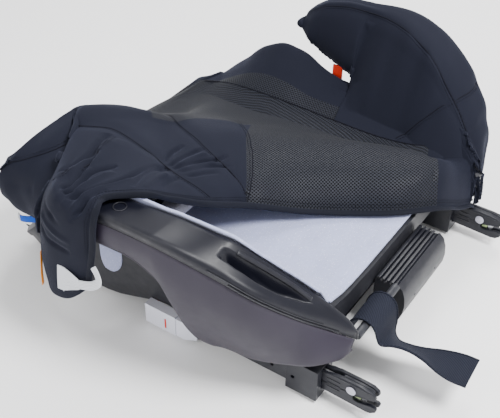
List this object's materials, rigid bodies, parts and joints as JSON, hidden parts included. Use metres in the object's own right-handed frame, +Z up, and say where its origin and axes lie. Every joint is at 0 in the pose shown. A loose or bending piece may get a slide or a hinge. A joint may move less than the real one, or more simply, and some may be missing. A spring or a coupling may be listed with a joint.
{
  "type": "booster seat",
  "caption": "Backless booster seat on two sliding anchor arms with hooked latches; felt-lined pan, two armrests and a padded cover half pulled off.",
  "frame": {"origin": "centre of the flat pad under the base plate, on the surface the seat stands on and midway between the two anchor connectors", "axes": "+Z up; -Y is the way the seated child faces; +Y is the rear, where the two connectors stick out; +X is the child's left"},
  "size_m": [0.4664, 0.4828, 0.1945],
  "materials": {
    "cover_cloth": "matt woven polyester, slight sheen",
    "felt": "soft needled felt",
    "foam": "open-cell foam",
    "body_plastic": "satin moulded",
    "panel_plastic": "fine grained",
    "base_plastic": "matt moulded",
    "white_plastic": "satin moulded",
    "red_plastic": "satin moulded",
    "green_plastic": "moulded",
    "rail_steel": "dark powder coat",
    "bare_steel": "satin",
    "rubber": "matt",
    "webbing": "flat woven webbing",
    "elastic": "knitted elastic"
  },
  "bodies": {
    "seat": {"base_plate": "base_plastic", "base_screw_1": "bare_steel", "base_screw_2": "bare_steel", "base_screw_3": "bare_steel", "base_screw_4": "bare_steel", "cover_fold": "cover_cloth", "elastic_loop": "elastic", "felt_liner": "felt", "foam_insert": "foam", "foot_front_left": "rubber", "foot_front_right": "rubber", "foot_rear_left": "rubber", "foot_rear_right": "rubber", "left_arm_liner": "felt", "left_armrest": "body_plastic", "left_belt_guide": "red_plastic", "left_button_spring": "bare_steel", "left_guide_bracket": "body_plastic", "left_horn_cover": "cover_cloth", "left_lock_indicator": "red_plastic", "left_rail": "rail_steel", "left_release_housing": "white_plastic", "left_rocker_pin": "bare_steel", "left_side_panel": "panel_plastic", "rail_crossbar": "rail_steel", "rear_block": "body_plastic", "right_arm_cover": "cover_cloth", "right_armrest": "body_plastic", "right_belt_guide": "red_plastic", "right_bolster_cover": "cover_cloth", "right_button_spring": "bare_steel", "right_guide_bracket": "body_plastic", "right_lock_indicator": "red_plastic", "right_rail": "rail_steel", "right_release_housing": "white_plastic", "right_rocker_pin": "bare_steel", "right_side_panel": "panel_plastic", "seat_cover": "cover_cloth", "seat_pan": "body_plastic", "strap_bar": "rail_steel", "webbing_strap": "webbing"},
    "left_arm": {"left_slide_arm": "bare_steel", "left_connector_outer": "body_plastic", "left_connector_inner": "body_plastic", "left_hook_pin": "bare_steel", "left_latch_indicator": "green_plastic", "left_hook_spring": "bare_steel"},
    "left_hook": {"left_latch_hook": "bare_steel"},
    "left_button": {"left_release_button": "white_plastic"},
    "left_rocker": {"left_lock_rocker": "bare_steel"},
    "right_arm": {"right_slide_arm": "bare_steel", "right_connector_outer": "body_plastic", "right_connector_inner": "body_plastic", "right_hook_pin": "bare_steel", "right_latch_indicator": "green_plastic", "right_hook_spring": "bare_steel"},
    "right_hook": {"right_latch_hook": "bare_steel"},
    "right_button": {"right_release_button": "white_plastic"},
    "right_rocker": {"right_lock_rocker": "bare_steel"}
  },
  "joints": [
    {"name": "left_arm_slide", "type": "slide", "parent": "seat", "child": "left_arm", "axis": [0, 1, 0], "range_m": [0, 0.09]},
    {"name": "left_hook_pivot", "type": "hinge", "parent": "left_arm", "child": "left_hook", "pos_m": [0.14, 0.2, 0.0295], "axis": [1, 0, 0], "range_deg": [0, 32], "stiffness_Nm_per_rad": 0.02, "deforming": ["left_hook_spring"]},
    {"name": "left_button_press", "type": "slide", "parent": "seat", "child": "left_button", "axis": [-1, 0, 0], "range_m": [0, 0.0025], "stiffness_N_per_m": 400, "deforming": ["left_button_spring"]},
    {"name": "left_rocker_pivot", "type": "hinge", "parent": "seat", "child": "left_rocker", "pos_m": [0.1545, 0.004, 0.0105], "axis": [0, 0, 1], "range_deg": [0, 13.5]},
    {"name": "right_arm_slide", "type": "slide", "parent": "seat", "child": "right_arm", "axis": [0, 1, 0], "range_m": [0, 0.09]},
    {"name": "right_hook_pivot", "type": "hinge", "parent": "right_arm", "child": "right_hook", "pos_m": [-0.14, 0.2, 0.0295], "axis": [1, 0, 0], "range_deg": [0, 32], "stiffness_Nm_per_rad": 0.02, "deforming": ["right_hook_spring"]},
    {"name": "right_button_press", "type": "slide", "parent": "seat", "child": "right_button", "axis": [1, 0, 0], "range_m": [0, 0.0025], "stiffness_N_per_m": 400, "deforming": ["right_button_spring"]},
    {"name": "right_rocker_pivot", "type": "hinge", "parent": "seat", "child": "right_rocker", "pos_m": [-0.1545, 0.004, 0.0105], "axis": [0, 0, 1], "range_deg": [-13.5, 0]}
  ],
  "couplings": [
    {"joint": "left_rocker_pivot", "follows": "left_button_press", "rad_per_m": 90},
    {"joint": "right_rocker_pivot", "follows": "right_button_press", "rad_per_m": -90}
  ]
}
